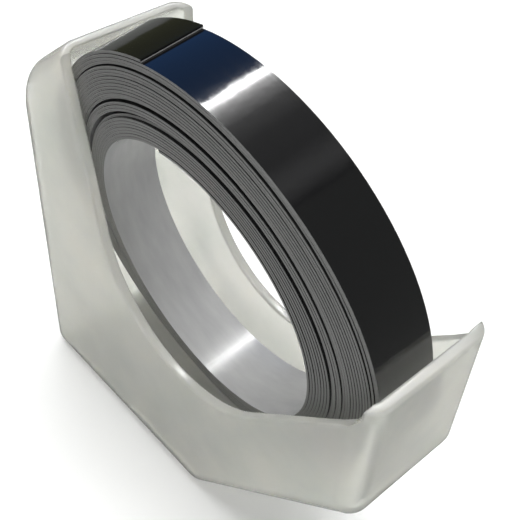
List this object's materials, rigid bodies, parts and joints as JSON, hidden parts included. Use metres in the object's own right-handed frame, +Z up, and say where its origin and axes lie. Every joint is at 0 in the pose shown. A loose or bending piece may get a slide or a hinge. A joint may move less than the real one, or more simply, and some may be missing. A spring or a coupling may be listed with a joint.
{
  "type": "embossing label tape refill cassette",
  "caption": "Open translucent cassette with a loose coil of narrow glossy embossing tape standing in it, vinyl side out, on its peel-off backing.",
  "frame": {"origin": "centre of the object's plan outline, on the underside of the holder's flat base", "axes": "+Z up, +Y towards the back side plate, +X towards the short end wall above the ramp"},
  "size_m": [0.05, 0.0148, 0.0535],
  "materials": {
    "translucent_plastic": "natural translucent polypropylene, satin",
    "vinyl": "high gloss black",
    "backing": "light grey release-coated film, semi-gloss"
  },
  "bodies": {
    "holder": {"cassette_holder": "translucent_plastic"},
    "coil": {"vinyl_tape": "vinyl", "backing_strip": "backing"}
  },
  "joints": [
    {"name": "coil_spin", "type": "hinge", "parent": "holder", "child": "coil", "pos_m": [0.00105, -0.00364, 0.0307], "axis": [0, 0.991, 0.134], "continuous": true}
  ]
}
